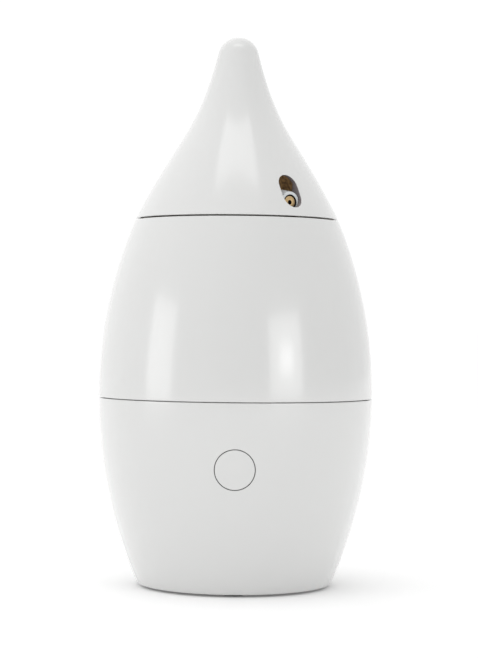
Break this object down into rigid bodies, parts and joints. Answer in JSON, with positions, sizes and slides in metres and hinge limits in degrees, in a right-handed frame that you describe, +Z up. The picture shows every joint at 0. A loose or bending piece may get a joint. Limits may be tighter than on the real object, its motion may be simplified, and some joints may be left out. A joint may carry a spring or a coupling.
{
  "type": "cool mist humidifier",
  "caption": "Droplet-shaped table humidifier with a flush round power button and a swivelling lift-off cap that sprays mist through a tilting nozzle in a slot.",
  "frame": {"origin": "on the floor, at the centre of the underside, on the axis of the round body", "axes": "+Z up along the axis of the body; the front with the power button faces -Y; +X is to the right of someone facing the front"},
  "size_m": [0.15, 0.15, 0.3],
  "materials": {
    "body_white": "gloss",
    "inner_white": "satin",
    "rubber_black": "matte",
    "seal_red": "matte",
    "steel": "satin",
    "brass": "satin",
    "board_green": "matte",
    "moulding": "matte",
    "silicone": "satin",
    "float_yellow": "matte"
  },
  "bodies": {
    "base": {"base_housing": "body_white", "board_screw_1": "steel", "board_screw_2": "steel", "bottom_cover": "inner_white", "button_guide": "moulding", "control_board": "board_green", "cover_screw_1": "steel", "cover_screw_2": "steel", "cover_screw_3": "steel", "cover_screw_4": "steel", "float_post": "inner_white", "foot_1": "rubber_black", "foot_2": "rubber_black", "foot_3": "rubber_black", "foot_4": "rubber_black", "inlet_hose": "silicone", "inlet_lead": "rubber_black", "level_sensor": "rubber_black", "motor_lead": "rubber_black", "outlet_hose": "silicone", "power_inlet": "rubber_black", "pump_cradle": "moulding", "pump_damper": "rubber_black", "pump_head": "moulding", "pump_motor": "steel", "riser_tube": "silicone", "sensor_lead": "rubber_black", "strainer": "silicone", "switch_body": "moulding", "tank_floor": "inner_white", "tank_gasket": "seal_red", "tank_neck": "body_white", "tank_screw_1": "steel", "tank_screw_2": "steel", "tank_screw_3": "steel", "tank_shell": "body_white"},
    "button": {"power_button": "body_white", "switch_plunger": "rubber_black"},
    "rotor": {"pump_rotor": "steel"},
    "float": {"level_float": "float_yellow"},
    "swivel": {"swivel_ring": "inner_white"},
    "cap": {"cap_plate": "inner_white", "cap_shell": "body_white", "feed_spigot": "inner_white", "spigot_oring": "seal_red", "feed_hose": "silicone", "nozzle_bracket": "moulding", "bracket_screw_1": "steel", "bracket_screw_2": "steel"},
    "nozzle": {"nozzle_holder": "inner_white", "nozzle_seal": "rubber_black", "spray_nozzle": "brass"}
  },
  "joints": [
    {"name": "button_press", "type": "slide", "parent": "base", "child": "button", "axis": [0, 1, 0], "range_m": [0, 0.0012], "stiffness_N_per_m": 1200, "springref_m": -0.0005},
    {"name": "pump_spin", "type": "hinge", "parent": "base", "child": "rotor", "pos_m": [-0.027, 0.005, 0.032], "axis": [1, 0, 0], "continuous": true},
    {"name": "float_rise", "type": "slide", "parent": "base", "child": "float", "axis": [0, 0, 1], "range_m": [0, 0.011]},
    {"name": "cap_swivel", "type": "hinge", "parent": "base", "child": "swivel", "pos_m": [0, 0, 0.19], "axis": [0, 0, 1], "continuous": true},
    {"name": "cap_lift", "type": "slide", "parent": "swivel", "child": "cap", "axis": [0, 0, 1], "range_m": [0, 0.045]},
    {"name": "nozzle_tilt", "type": "hinge", "parent": "cap", "child": "nozzle", "pos_m": [0.01294, -0.01814, 0.2074], "axis": [-0.8141, -0.5807, 0], "range_deg": [0, 15]}
  ]
}
